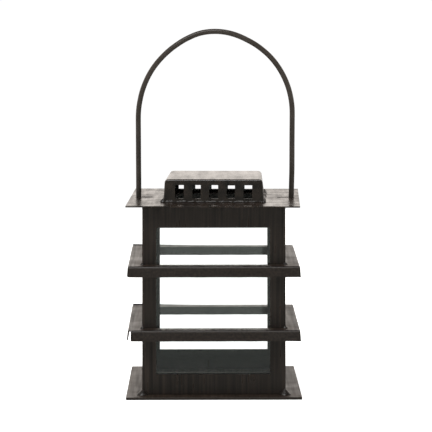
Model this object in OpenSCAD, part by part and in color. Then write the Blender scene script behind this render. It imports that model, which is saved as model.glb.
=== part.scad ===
// Square candle lantern in painted sheet steel, with two folded tiers round a glazed body.
// The lid and its vent cap slide up the wire handle, which guides them through two slots.
// Millimetres, +Z up. The origin is the middle of the base plate's underside.

/* [Base plate] */
// Width of the base plate at its front edge
base_front_w = 118.4; // [114:0.2:122]
// Width of the base plate at its back edge
base_back_w = 116.8; // [114:0.2:122]
// Depth of the base plate
base_d = 117.4; // [114:0.2:122]
// Thickness of the base plate
base_t = 1.8; // [1.2:0.1:2.4]
// Radius of the base plate's corners
base_corner_r = 0.8; // [0.4:0.1:3]

/* [Body] */
// Width and depth of the body, over its four panels
body_w = 95.8; // [94:0.2:98]
// Height of the panels' top edge above the floor
body_top = 129.6; // [129:0.1:131]
// Thickness of the panel sheet
panel_t = 1; // [0.8:0.1:1.2]
// Width of the window in each panel
window_w = 76.2; // [72:0.2:77]
// Height of each window's lower edge above the floor
window_bottom = 15.6; // [15:0.2:18]
// Height of each window's upper edge above the floor
window_top = 115; // [110:0.5:116]

/* [Glass] */
// Thickness of the panes
glass_t = 1.8; // [1.4:0.1:2]
// How far a pane runs past its window's edge, behind the panel
glass_lap = 3; // [2:0.1:3.2]
// Gap between a pane and the channel that holds it
glass_gap = 0.1; // [0.05:0.05:0.2]
// Sheet thickness of the glass channels
channel_t = 0.6; // [0.5:0.1:0.8]
// Width of a channel's flange beside the pane
channel_flange = 3; // [2:0.1:3.2]
// Height of the channel's inner leg above the window's lower edge
channel_show = 1; // [0.4:0.1:2]

/* [Tiers] */
// Width and depth of the upper tier
upper_tier_w = 115.4; // [112:0.2:120]
// Height of the upper tier's top face
upper_tier_top = 90.2; // [84:0.2:96]
// Depth of the upper tier's lips: right, back, left and front
upper_lip_drop = [7.8, 7.2, 7.2, 7.3]; // [5:0.1:9]
// Outward splay of the upper tier's lips in degrees: right, back, left and front
upper_lip_splay = [4, 1, 5, 0]; // [0:0.5:10]
// Open notch at the first end of each lip of the upper tier, going round anticlockwise from above.
// Below 0, the lip runs past the flat's corner: right, back, left and front
upper_lip_start = [0.1, -1, 0.1, -1.1]; // [-1.3:0.1:2]
// The same at the second end of each lip
upper_lip_stop = [0.1, -1, 0.1, -0.9]; // [-1.3:0.1:2]
// Width and depth of the lower tier
lower_tier_w = 115.8; // [112:0.2:120]
// Height of the lower tier's top face
lower_tier_top = 47; // [40:0.2:54]
// Depth of the lower tier's lips: right, back, left and front
lower_lip_drop = [7.8, 7.2, 7.0, 7.3]; // [5:0.1:9]
// Outward splay of the lower tier's lips in degrees: right, back, left and front
lower_lip_splay = [4, 1, 6, 0]; // [0:0.5:10]
// Open notch at the first end of each lip of the lower tier, as for the upper one
lower_lip_start = [0.1, -1, 0.1, 0.6]; // [-1.3:0.1:2]
// The same at the second end of each lip
lower_lip_stop = [0.1, -1, 0.1, -1.2]; // [-1.3:0.1:2]
// Sheet thickness of the tiers
tier_t = 0.8; // [0.6:0.1:1]
// Outside radius of the bend between a tier's top and its lips
tier_bend_r = 1.5; // [1.2:0.1:2]
// Gap between the body and the square hole in each tier
tier_gap = 0.2; // [0.1:0.05:0.5]

/* [Lid] */
// Width and depth of the lid plate
lid_w = 116.1; // [112:0.1:120]
// Thickness of the lid plate
lid_t = 0.9; // [0.7:0.1:1.2]
// Gap under the closed lid, above the panels' top edge
lid_gap = 0.1; // [0.05:0.05:0.3]
// Turn of the loose lid and its handle about the upright axis, clockwise from above
lid_turn = 1.8; // [0:0.1:2]
// Sideways set of the lid and handle towards +X
lid_shift = 1; // [0:0.1:1.2]
// Width of the square opening in the lid, under the vent cap
lid_opening_w = 52; // [46:1:56]
// Width of the two slots that the handle runs in
slot_w = 4.4; // [4.2:0.1:5]
// Distance from the lid's middle to each slot's inner end
slot_inner = 42.6; // [41:0.1:45]
// Distance from the lid's middle to each slot's outer end
slot_outer = 55.1; // [55:0.1:56]

/* [Vent cap] */
// Width of the cap at its foot, left to right
cap_foot_w = 68; // [64:0.5:70]
// Width of the cap across its top, left to right
cap_top_w = 63.8; // [60:0.2:64]
// Depth of the cap at its foot, front to back
cap_foot_d = 66; // [62:0.5:68]
// Depth of the cap across its top, front to back
cap_top_d = 63; // [58:0.5:64]
// Height of the cap above the lid plate
cap_h = 15.4; // [14:0.2:18]
// Sheet thickness of the cap
cap_t = 0.9; // [0.7:0.1:1.2]
// Outside radius of the bends at the left and right of the cap's top
cap_side_bend_r = 2.2; // [1.4:0.1:3]
// Outside radius of the bends at the front and back of the cap's top
cap_front_bend_r = 1.2; // [1.1:0.1:3]
// Number of vents along the front and along the back
vent_count = 5; // [3:1:5]
// Width of each vent
vent_w = 5.9; // [4.5:0.1:6.5]
// Height of each vent in the front
vent_h = 9.1; // [8:0.1:10]
// Distance between the middles of neighbouring vents
vent_pitch = 11.55; // [10:0.05:11.6]
// Height of the front vents' lower edge above the lid plate
vent_sill = 2.4; // [1.6:0.1:2.8]
// How much higher the back vents' lower edge is
vent_back_rise = 0.5; // [0:0.1:1]

/* [Handle] */
// Diameter of the handle wire
wire_d = 3.6; // [3:0.1:3.6]
// Distance between the two legs, middle to middle
handle_span = 105; // [104.8:0.1:105.4]
// Height of the middle of the wire at the crown
handle_top = 244.6; // [240:0.2:250]
// Radius of the arch at the crown, to the middle of the wire
crown_r = 44.4; // [42:0.2:46]
// Height of the hooked ends of the handle
hook_z = 125.1; // [124.6:0.1:125.4]
// Radius of the bend into each hooked end, to the middle of the wire
hook_bend_r = 3; // [2.6:0.1:3.2]
// Distance from the handle's middle to the end of each hook
hook_end = 40.5; // [38:0.5:43]
// Diameter of the holes in the side panels that take the hooks
hook_hole_d = 4.6; // [4.4:0.1:5]

/* [Welds] */
// Radius of the cone-shaped beads at the foot of the body
base_weld_r = 4.2; // [2:0.1:5]
// Height of the beads at the foot of the body
base_weld_h = 3.4; // [2:0.1:5]
// Radius of the tacks between the tiers and the body's corners
tier_weld_r = 1.6; // [1:0.1:2.5]
// Radius of the tacks in the body's inside corners
seam_weld_r = 1.4; // [0.8:0.1:1.5]
// Radii of the beads at the cap's corners, from front left and clockwise from above
cap_weld_r = [2.3, 1.4, 1.9, 1.5]; // [1:0.1:3]

/* [Hidden] */

$fn = 64;
// Straight steps that stand for each bend round the cap's top
bend_steps = 8;
// Straight steps round each corner of the base plate
corner_steps = 4;
// Run-out of a cutting solid past the face it cuts
cut = 1;

// Paint over the steel sheet, the handle's wire and the panes
sheet_colour = "#2b2724";
wire_colour = "#3d3936";
weld_colour = "#1d1b19";
glass_colour = [0.72, 0.80, 0.76, 0.35];

// Panels are set round in a ring, each one lapping the cut edge of the next,
// so a panel's own middle lies half a sheet to one side of the body's middle
panel_mid = -panel_t / 2;
inner_face = body_w / 2 - panel_t;
// Turns that bring the front panel and its glass to the other three sides
to_right = 90;
to_back = 180;
to_left = 270;

pane_w = window_w + 2 * glass_lap;
pane_bottom = window_bottom - glass_lap;
pane_top = window_top + glass_lap;

lid_bottom = body_top + lid_gap;
lid_top = lid_bottom + lid_t;

// The hooks follow the turned handle, so their holes sit off the panels' middles
hook_hole_x = -(body_w / 2) * tan(lid_turn);

// The arch is a crown arc between two side arcs that start upright at the legs.
// Crown and side arcs meet, and share a tangent, on the line through their centres.
// That line has the slope of a 44, 117, 125 right-angled triangle.
arch_dir = [44 / 125, 117 / 125];
leg_x = handle_span / 2;
arc_centres_apart = (leg_x - crown_r) / (1 - arch_dir.x);
side_r = crown_r + arc_centres_apart;
handle_spring = handle_top - crown_r - arc_centres_apart * arch_dir.y;
hook_top = hook_z + hook_bend_r;

// ---- Shared shapes ----

// Points along an arc, as short straight steps between two angles
function arc_points(middle, radius, from, to, steps) = [
    for (i = [0:steps])
        let (a = from + (to - from) * i / steps)
            middle + radius * [cos(a), sin(a)]
];

// The slice of a disc between two directions less than 180 degrees apart
module pie(radius, from, to) {
    reach = 2 * radius;
    middle = (from + to) / 2;
    intersection() {
        circle(r = radius);
        polygon([
            [0, 0],
            [reach * cos(from), reach * sin(from)],
            [reach * cos(middle), reach * sin(middle)],
            [reach * cos(to), reach * sin(to)]
        ]);
    }
}

// Everything inside the body's outer faces
module body_envelope() {
    translate([-body_w / 2, -body_w / 2, 0])
        cube([body_w, body_w, body_top]);
}

// Puts the lid's pieces and the handle in the loose lid's turned place
module lid_place() {
    translate([lid_shift, 0, 0])
        rotate([0, 0, -lid_turn])
            children();
}

// ---- Body ----

// A plate cut a little out of square, with rounded corners
module base_plate() {
    front_x = base_front_w / 2 - base_corner_r;
    back_x = base_back_w / 2 - base_corner_r;
    y = base_d / 2 - base_corner_r;
    color(sheet_colour)
        linear_extrude(base_t)
            polygon(concat(
                arc_points([back_x, y], base_corner_r, 0, 90, corner_steps),
                arc_points([-back_x, y], base_corner_r, 90, 180, corner_steps),
                arc_points([-front_x, -y], base_corner_r, 180, 270, corner_steps),
                arc_points([front_x, -y], base_corner_r, 270, 360, corner_steps)
            ));
}

// One side of the body, in the place of the front panel.
// hook_hole adds the hole for one hooked end of the handle.
module panel(hook_hole = false) {
    color(sheet_colour)
        difference() {
            translate([-body_w / 2, -body_w / 2, base_t])
                cube([body_w - panel_t, panel_t, body_top - base_t]);
            translate([panel_mid - window_w / 2, -body_w / 2 - cut, window_bottom])
                cube([window_w, panel_t + 2 * cut, window_top - window_bottom]);
            if (hook_hole)
                translate([hook_hole_x, -body_w / 2 - cut, hook_z])
                    rotate([-90, 0, 0])
                        cylinder(d = hook_hole_d, h = panel_t + 2 * cut);
        }
}

module front_panel() {
    panel();
}

module right_panel() {
    rotate([0, 0, to_right])
        panel(hook_hole = true);
}

module back_panel() {
    rotate([0, 0, to_back])
        panel();
}

module left_panel() {
    rotate([0, 0, to_left])
        panel(hook_hole = true);
}

// ---- Glass and the folded channels that hold it ----

// One pane, flat against the inside of the front panel
module pane() {
    color(glass_colour)
        translate([panel_mid - pane_w / 2, -inner_face, pane_bottom])
            cube([pane_w, glass_t, pane_top - pane_bottom]);
}

// A three-sided channel, open at the top of the window and pinched over the pane's top corners
module glass_channel() {
    pocket_w = pane_w + 2 * glass_gap;
    tray_w = pocket_w + 2 * channel_t;
    flange_w = tray_w + 2 * channel_flange;
    opening_w = window_w + 2 * channel_show;
    pocket_d = glass_t + glass_gap;
    tray_bottom = pane_bottom - glass_gap - channel_t;
    tray_top = pane_top + glass_gap + channel_t;
    flange_bottom = tray_bottom - channel_flange;
    color(sheet_colour)
        translate([panel_mid, -inner_face, 0])
            difference() {
                union() {
                    translate([-tray_w / 2, 0, tray_bottom])
                        cube([tray_w, pocket_d + channel_t, tray_top - tray_bottom]);
                    translate([-flange_w / 2, 0, flange_bottom])
                        cube([flange_w, channel_t, tray_top - flange_bottom]);
                }
                translate([-pocket_w / 2, -cut, pane_bottom - glass_gap])
                    cube([pocket_w, pocket_d + cut, pane_top - pane_bottom + 2 * glass_gap]);
                translate([-opening_w / 2, -cut, window_bottom + channel_show])
                    cube([opening_w, pocket_d + channel_t + 2 * cut, tray_top]);
            }
}

module front_glass() {
    pane();
}

module right_glass() {
    rotate([0, 0, to_right])
        pane();
}

module back_glass() {
    rotate([0, 0, to_back])
        pane();
}

module left_glass() {
    rotate([0, 0, to_left])
        pane();
}

module front_glass_channel() {
    glass_channel();
}

module right_glass_channel() {
    rotate([0, 0, to_right])
        glass_channel();
}

module back_glass_channel() {
    rotate([0, 0, to_back])
        glass_channel();
}

module left_glass_channel() {
    rotate([0, 0, to_left])
        glass_channel();
}

// ---- Tiers ----

// Section of a bend and its lip. The bend's centre is the section's origin,
// and the flat sheet joins it at the top, at x = 0.
module lip_section(drop, splay) {
    inner_r = tier_bend_r - tier_t;
    lip_len = (drop - tier_bend_r) / cos(splay);
    union() {
        difference() {
            pie(tier_bend_r, splay, 90);
            circle(r = inner_r);
        }
        rotate(splay)
            translate([inner_r, -lip_len])
                square([tier_t, lip_len]);
    }
}

// A square sheet with a hole for the body and a lip folded down along each side.
// starts and stops are the notches at the two ends of each lip.
module tier(width, top, drops, splays, starts, stops) {
    flat_w = width - 2 * tier_bend_r;
    hole_w = body_w + 2 * tier_gap;
    color(sheet_colour)
        union() {
            translate([0, 0, top - tier_t])
                difference() {
                    translate([-flat_w / 2, -flat_w / 2, 0])
                        cube([flat_w, flat_w, tier_t]);
                    translate([-hole_w / 2, -hole_w / 2, -cut])
                        cube([hole_w, hole_w, tier_t + 2 * cut]);
                }
            for (side = [0:3])
                rotate([0, 0, 90 * side])
                    translate([flat_w / 2, flat_w / 2 - stops[side], top - tier_bend_r])
                        rotate([90, 0, 0])
                            linear_extrude(flat_w - starts[side] - stops[side])
                                lip_section(drops[side], splays[side]);
        }
}

module lower_tier() {
    tier(
        lower_tier_w, lower_tier_top,
        lower_lip_drop, lower_lip_splay, lower_lip_start, lower_lip_stop
    );
}

module upper_tier() {
    tier(
        upper_tier_w, upper_tier_top,
        upper_lip_drop, upper_lip_splay, upper_lip_start, upper_lip_stop
    );
}

// ---- Welds ----

// One bead at each outside corner of the body, standing on height z
module corner_beads(z) {
    color(weld_colour)
        difference() {
            for (sx = [-1, 1], sy = [-1, 1])
                translate([sx * body_w / 2, sy * body_w / 2, z])
                    children();
            body_envelope();
            translate([-base_d / 2, -base_d / 2, z - base_d])
                cube([base_d, base_d, base_d]);
        }
}

module base_welds() {
    corner_beads(base_t)
        cylinder(r1 = base_weld_r, r2 = base_weld_r / 4, h = base_weld_h);
}

module lower_tier_welds() {
    corner_beads(lower_tier_top)
        sphere(r = tier_weld_r);
}

module upper_tier_welds() {
    corner_beads(upper_tier_top)
        sphere(r = tier_weld_r);
}

// Three tacks up each inside corner of the body
module panel_seam_welds() {
    seam_heights = [10, 62, 114];
    size = 2 * seam_weld_r;
    color(weld_colour)
        for (corner = [0:3], z = seam_heights)
            rotate([0, 0, 90 * corner])
                translate([-inner_face, -inner_face, z])
                    intersection() {
                        sphere(r = seam_weld_r);
                        translate([0, 0, -seam_weld_r])
                            cube(size);
                    }
}

// ---- Handle ----

// A stretch of bent wire in the XZ plane, round the origin, seen between two directions.
// between is a direction that lies inside the bend.
module wire_arc(radius, from, between, to) {
    reach = 2 * radius;
    rotate([90, 0, 0])
        intersection() {
            rotate_extrude()
                translate([radius, 0])
                    circle(d = wire_d);
            linear_extrude(2 * wire_d, center = true)
                polygon([[0, 0], reach * from, reach * between, reach * to]);
        }
}

// The leg, side arc and hooked end on the +X side
module handle_side() {
    translate([leg_x, 0, hook_top])
        cylinder(d = wire_d, h = handle_spring - hook_top);
    translate([leg_x - side_r, 0, handle_spring])
        wire_arc(side_r, [1, 0], [1, 1], arch_dir);
    translate([leg_x - hook_bend_r, 0, hook_top])
        wire_arc(hook_bend_r, [0, -1], [1, -1], [1, 0]);
    translate([hook_end, 0, hook_z])
        rotate([0, 90, 0])
            cylinder(d = wire_d, h = leg_x - hook_bend_r - hook_end);
}

module handle() {
    color(wire_colour)
        lid_place()
            union() {
                for (turn = [0, 180])
                    rotate([0, 0, turn])
                        handle_side();
                translate([0, 0, handle_top - crown_r])
                    wire_arc(crown_r, arch_dir, [0, 1], [-arch_dir.x, arch_dir.y]);
            }
}

// ---- Lid and vent cap ----

module lid_plate() {
    slot_len = slot_outer - slot_inner - slot_w;
    color(sheet_colour)
        lid_place()
            translate([0, 0, lid_bottom])
                difference() {
                    translate([-lid_w / 2, -lid_w / 2, 0])
                        cube([lid_w, lid_w, lid_t]);
                    translate([-lid_opening_w / 2, -lid_opening_w / 2, -cut])
                        cube([lid_opening_w, lid_opening_w, lid_t + 2 * cut]);
                    for (s = [-1, 1])
                        translate([s * (slot_inner + slot_w / 2), 0, -cut])
                            union() {
                                cylinder(d = slot_w, h = lid_t + 2 * cut);
                                translate([s * slot_len, 0, 0])
                                    cylinder(d = slot_w, h = lid_t + 2 * cut);
                                translate([s > 0 ? 0 : -slot_len, -slot_w / 2, 0])
                                    cube([slot_len, slot_w, lid_t + 2 * cut]);
                            }
                }
}

// Upright section of a box that narrows towards its top, with round top corners.
// The sides lean in from the upright, and run on below the foot by the given depth.
module flared_section(foot_w, top_w, height, radius, below) {
    lean = atan((foot_w - top_w) / 2 / height);
    low_x = foot_w / 2 + below * tan(lean);
    bend_z = height - radius;
    bend_x = foot_w / 2 - (radius + sin(lean) * bend_z) / cos(lean);
    polygon(concat(
        [[-low_x, -below], [low_x, -below]],
        arc_points([bend_x, bend_z], radius, lean, 90, bend_steps),
        arc_points([-bend_x, bend_z], radius, 90, 180 - lean, bend_steps)
    ));
}

// The solid inside the cap's faces, set in from them by the given amount,
// and carried on below the cap's foot
module cap_solid(inset, below) {
    side_r = cap_side_bend_r - inset;
    front_r = cap_front_bend_r - inset;
    height = cap_h - inset;
    foot_w = cap_foot_w - 2 * inset;
    foot_d = cap_foot_d - 2 * inset;
    intersection() {
        translate([0, foot_d, 0])
            rotate([90, 0, 0])
                linear_extrude(2 * foot_d)
                    flared_section(foot_w, cap_top_w - 2 * inset, height, side_r, below);
        translate([-foot_w, 0, 0])
            rotate([90, 0, 90])
                linear_extrude(2 * foot_w)
                    flared_section(foot_d, cap_top_d - 2 * inset, height, front_r, below);
    }
}

module vent_cap() {
    row = (vent_count - 1) * vent_pitch;
    color(sheet_colour)
        lid_place()
            translate([0, 0, lid_top])
                difference() {
                    cap_solid(0, 0);
                    cap_solid(cap_t, cut);
                    for (i = [0:vent_count - 1])
                        translate([i * vent_pitch - row / 2 - vent_w / 2, 0, vent_sill]) {
                            translate([0, -cap_foot_d, 0])
                                cube([vent_w, cap_foot_d, vent_h]);
                            translate([0, 0, vent_back_rise])
                                cube([vent_w, cap_foot_d, vent_h - vent_back_rise]);
                        }
                }
}

module cap_welds() {
    corners = [[-1, -1], [-1, 1], [1, 1], [1, -1]];
    // How far each bead's middle stands out from the cap's corner
    stand_out = 0.3;
    color(weld_colour)
        lid_place()
            translate([0, 0, lid_top])
                difference() {
                    for (i = [0:3])
                        translate([
                            corners[i].x * (cap_foot_w / 2 + stand_out),
                            corners[i].y * (cap_foot_d / 2 + stand_out),
                            0
                        ])
                            sphere(r = cap_weld_r[i]);
                    cap_solid(0, cut);
                    translate([-cap_foot_w, -cap_foot_d, -cap_h])
                        cube([2 * cap_foot_w, 2 * cap_foot_d, cap_h]);
                }
}

base_plate();
front_panel();
right_panel();
back_panel();
left_panel();
front_glass();
right_glass();
back_glass();
left_glass();
front_glass_channel();
right_glass_channel();
back_glass_channel();
left_glass_channel();
lower_tier();
upper_tier();
base_welds();
panel_seam_welds();
lower_tier_welds();
upper_tier_welds();
handle();
lid_plate();
vent_cap();
cap_welds();
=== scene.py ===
"""Looks of a square candle lantern of painted folded steel, with clear panes and a vented lid on a wire handle.

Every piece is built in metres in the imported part's own frame, from sizes in millimetres that its class holds.
"""

import logging
import math
from dataclasses import dataclass, field
from enum import Enum
from typing import Any, Iterable, Sequence

import bmesh
import bpy
from mathutils import Euler, Matrix, Vector, noise


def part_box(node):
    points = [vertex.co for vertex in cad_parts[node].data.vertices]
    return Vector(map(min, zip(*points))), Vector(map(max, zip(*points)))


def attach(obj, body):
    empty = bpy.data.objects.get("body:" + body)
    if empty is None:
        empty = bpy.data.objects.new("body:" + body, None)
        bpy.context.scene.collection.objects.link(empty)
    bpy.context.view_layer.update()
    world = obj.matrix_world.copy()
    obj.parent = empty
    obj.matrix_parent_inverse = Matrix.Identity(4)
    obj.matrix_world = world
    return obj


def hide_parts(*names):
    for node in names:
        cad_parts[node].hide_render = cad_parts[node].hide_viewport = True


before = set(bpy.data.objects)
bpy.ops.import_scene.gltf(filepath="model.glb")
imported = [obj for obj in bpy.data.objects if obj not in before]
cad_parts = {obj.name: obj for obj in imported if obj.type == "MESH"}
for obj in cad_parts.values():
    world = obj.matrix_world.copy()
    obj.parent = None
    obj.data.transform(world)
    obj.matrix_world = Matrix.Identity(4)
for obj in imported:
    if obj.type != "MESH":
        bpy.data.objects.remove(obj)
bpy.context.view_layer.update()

LOG = logging.getLogger("lantern")
MM = 0.001
# Steps across a softened edge, and the largest angle between faces that are shaded as one surface
EDGE_STEPS = 2
SMOOTH_DEG = 20.0
# Points of a CAD node this near each other are one, and faces this nearly in one plane are joined
MERGE_M = 2e-6
FLAT_DEG = 0.4
# How far the body's foot stands out at each side beyond its top
FOOT_SPREAD_MM = 0.5
SIDES = ("front", "right", "back", "left")
# Number of the back side where a tier's sides are counted from the right round by the back
BACK = 1
Point = tuple[float, float]
Point3 = tuple[float, float, float]
Socket = bpy.types.NodeSocket
# Type of a tree's input by the type of its first value
SOCKET_TYPES = {float: "NodeSocketFloat", int: "NodeSocketInt", tuple: "NodeSocketVector"}
# Numbers of the Mix node's inputs for its share, its plain values and its colours, and of the colour it gives
MIX_FACTOR = 0
MIX_VALUES = (2, 3)
MIX_COLOURS = (6, 7)
MIX_COLOUR_RESULT = 2
# Numbers of the Random Value node's limits and result when it gives a plain value
RANDOM_VALUES = (2, 3)
RANDOM_VALUE_RESULT = 1


class Body(Enum):
    """The part's two moving bodies."""

    LANTERN = "body"
    LID = "lid"


class Slot(Enum):
    """The record's material slots."""

    SHEET = "painted_steel_sheet"
    WIRE = "painted_steel_wire"
    WELD = "painted_weld"
    GLASS = "clear_glass"


class BrushRun(Enum):
    """The way the paint brush was drawn over a piece. The value is the axis that the streaks follow."""

    SIDEWAYS = 0
    DEPTH = 1
    UPRIGHT = 2


# ---- Colour and node helpers ----


def linear(code: str) -> tuple[float, float, float, float]:
    """Turns an sRGB hex colour into linear light.

    Args:
        code: Colour such as "#2b2724".

    Returns:
        Red, green, blue and an alpha of 1.
    """
    values = [int(code[i : i + 2], 16) / 255 for i in (1, 3, 5)]
    red, green, blue = (v / 12.92 if v <= 0.04045 else ((v + 0.055) / 1.055) ** 2.4 for v in values)
    return (red, green, blue, 1.0)


def add_node(
    tree: bpy.types.NodeTree,
    kind: str,
    settings: dict[str, Any] | None = None,
    inputs: dict[str | int, Any] | None = None,
) -> bpy.types.Node:
    """Adds one node to a tree.

    Args:
        tree: Tree that gets the node.
        kind: Node type's identifier.
        settings: Properties of the node itself.
        inputs: Each input's value or the socket that feeds it, by the input's name or number.

    Returns:
        The new node.
    """
    node = tree.nodes.new(kind)
    for name, value in (settings or {}).items():
        setattr(node, name, value)
    for key, value in (inputs or {}).items():
        if isinstance(value, Socket):
            tree.links.new(value, node.inputs[key])
        else:
            node.inputs[key].default_value = value
    return node


def calc(tree: bpy.types.NodeTree, operation: str, *terms: float | Socket) -> Socket:
    """Works out a sum in a tree.

    Args:
        tree: Tree that gets the Math node.
        operation: The node's operation.
        terms: Its numbers or sockets, in order.

    Returns:
        The result.
    """
    return add_node(tree, "ShaderNodeMath", {"operation": operation}, dict(enumerate(terms))).outputs[0]


def axes_of(tree: bpy.types.NodeTree, vector: Socket) -> Any:
    """Returns the sockets of a vector's axes, by the names X, Y and Z."""
    return add_node(tree, "ShaderNodeSeparateXYZ", inputs={0: vector}).outputs


def vector_of(tree: bpy.types.NodeTree, **axes: float | Socket) -> Socket:
    """Returns a vector with the given X, Y and Z. An axis that is left out is 0."""
    return add_node(tree, "ShaderNodeCombineXYZ", inputs=axes).outputs[0]


def spread(
    tree: bpy.types.NodeTree,
    source: Socket,
    low: float | Socket,
    high: float | Socket,
    start: float = 0.3,
    end: float = 0.7,
    shape: str = "LINEAR",
) -> Socket:
    """Stretches part of a value's range, at first a noise's middle, to new limits.

    Args:
        tree: Tree that gets the node.
        source: Value to stretch.
        low: Result at start.
        high: Result at end.
        start: Lower end of the source's range.
        end: Upper end of the source's range.
        shape: How the result runs between the limits.

    Returns:
        The stretched value, held between the two limits.
    """
    limits = {"Value": source, "From Min": start, "From Max": end, "To Min": low, "To Max": high}
    return add_node(tree, "ShaderNodeMapRange", {"interpolation_type": shape}, limits).outputs[0]


# ---- Finishes ----


def shader_tree(name: str) -> tuple[bpy.types.Material, bpy.types.NodeTree, Socket]:
    """Starts a material.

    Args:
        name: Name of the material.

    Returns:
        The material, its empty node tree, and the Object coordinates that its patterns read.
    """
    material = bpy.data.materials.new(name)
    material.use_nodes = True
    tree = material.node_tree
    tree.nodes.clear()
    return material, tree, add_node(tree, "ShaderNodeTexCoord").outputs["Object"]


def shade(tree: bpy.types.NodeTree, inputs: dict[str, Any]) -> None:
    """Ends a material's tree in a Principled BSDF with the given inputs."""
    shader = add_node(tree, "ShaderNodeBsdfPrincipled", inputs=inputs)
    add_node(tree, "ShaderNodeOutputMaterial", inputs={"Surface": shader.outputs[0]})


def grain(tree: bpy.types.NodeTree, coords: Socket, sizes_mm: Sequence[float], detail: float = 2.0) -> Socket:
    """Adds a noise whose features have a real size along each axis.

    Args:
        tree: Material's tree.
        coords: Coordinates in metres.
        sizes_mm: Size of one feature along X, Y and Z.
        detail: Number of finer layers.

    Returns:
        The noise's value, from about 0.25 to 0.75.
    """
    per_metre = [1 / (size * MM) for size in sizes_mm]
    mapped = add_node(tree, "ShaderNodeMapping", inputs={"Scale": per_metre, "Vector": coords}).outputs[0]
    return add_node(
        tree, "ShaderNodeTexNoise", inputs={"Scale": 1.0, "Detail": detail, "Vector": mapped}
    ).outputs[0]


def blend_colour(tree: bpy.types.NodeTree, share: Socket, first: Any, second: Any) -> Socket:
    """Blends two colours.

    Args:
        tree: Material's or surround's tree.
        share: How much of the second colour shows, from 0 to 1.
        first: Colour socket or linear colour at 0.
        second: Colour socket or linear colour at 1.

    Returns:
        The blended colour.
    """
    inputs = {MIX_FACTOR: share, MIX_COLOURS[0]: first, MIX_COLOURS[1]: second}
    return add_node(tree, "ShaderNodeMix", {"data_type": "RGBA"}, inputs).outputs[MIX_COLOUR_RESULT]


def bump(tree: bpy.types.NodeTree, height: Socket, depth_mm: float, normal: Socket | None = None) -> Socket:
    """Raises a pattern from a surface.

    Args:
        tree: Material's tree.
        height: The pattern, from 0 to 1.
        depth_mm: How high the pattern stands at 1.
        normal: Normal that it is laid on, or None for the surface's own.

    Returns:
        The new normal.
    """
    inputs = {"Strength": 1.0, "Distance": depth_mm * MM, "Height": height} | ({"Normal": normal} if normal else {})
    return add_node(tree, "ShaderNodeBump", inputs=inputs).outputs[0]


@dataclass(frozen=True)
class BrushedPaint:
    """Semi-gloss brown-black enamel brushed on to sheet steel.

    The bristles leave long fine streaks that break up a reflection, the film dries duller in patches,
    and a near-black painted shade lies along a fold, where the mesh says so.
    """

    name: str
    run: BrushRun
    # Brown-black of the dry film, and the deeper tone where it lies thick
    film: str = "#2e251f"
    thick: str = "#0f0906"
    # Near-black painted shade along a fold
    painted_fold_shade: str = "#120907"
    # Bristle marks are about 1.5 mm apart and 60 mm long
    streak_mm: float = 1.5
    streak_run_mm: float = 60.0
    # Dull patches are a few centimetres across
    patch_mm: float = 16.0
    gloss: float = 0.27
    dull: float = 0.40
    # How much rougher or smoother a bristle mark is than the film round it
    streak_dull: float = 0.06
    # Depth of a bristle mark, and size and depth of the fine orange peel between marks
    streak_depth_mm: float = 0.02
    peel_mm: float = 0.7
    peel_depth_mm: float = 0.004
    # Share of the colour that turns a lighter brown on faces that look up
    dust: float = 0.0
    dust_colour: str = "#664c36"

    def dusted(self, tree: bpy.types.NodeTree, colour: Socket, patches: Socket) -> Socket:
        """Blends a lighter brown into the faces that look up.

        Args:
            tree: Paint's tree.
            colour: Colour of the clean paint.
            patches: Pattern that the brown follows.

        Returns:
            The tinted colour.
        """
        facing = add_node(tree, "ShaderNodeNewGeometry").outputs["Normal"]
        upward = spread(tree, axes_of(tree, facing)["Z"], 0, 1, 0.7, 0.95)
        patchy_share = spread(tree, patches, 0.5 * self.dust, self.dust, 0.4, 0.65)
        return blend_colour(tree, calc(tree, "MULTIPLY", upward, patchy_share), colour, linear(self.dust_colour))

    def build(self) -> bpy.types.Material:
        """Returns the paint as a material."""
        material, tree, coords = shader_tree(self.name)
        sizes = [self.streak_mm] * 3
        sizes[self.run.value] = self.streak_run_mm
        streaks = grain(tree, coords, sizes, 3.0)
        patches = grain(tree, coords, [self.patch_mm] * 3, 3.0)
        peel = grain(tree, coords, [self.peel_mm] * 3, 1.0)
        colour = blend_colour(tree, spread(tree, streaks, 0, 1), linear(self.film), linear(self.thick))
        if self.dust:
            colour = self.dusted(tree, colour, patches)
        # Painted shade: the crease of a fold, where the mesh marks it, is coloured near-black
        along_folds = add_node(tree, "ShaderNodeAttribute", {"attribute_name": "fold_shade_share"}).outputs["Fac"]
        fold_shade_share = calc(tree, "MULTIPLY", along_folds, spread(tree, patches, 0.8, 1))
        lined = spread(tree, streaks, -self.streak_dull, self.streak_dull)
        shade(
            tree,
            {
                "Base Color": blend_colour(tree, fold_shade_share, colour, linear(self.painted_fold_shade)),
                "Roughness": calc(tree, "ADD", spread(tree, patches, self.gloss, self.dull), lined),
                "Normal": bump(tree, peel, self.peel_depth_mm, bump(tree, streaks, self.streak_depth_mm)),
            },
        )
        return material


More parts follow.
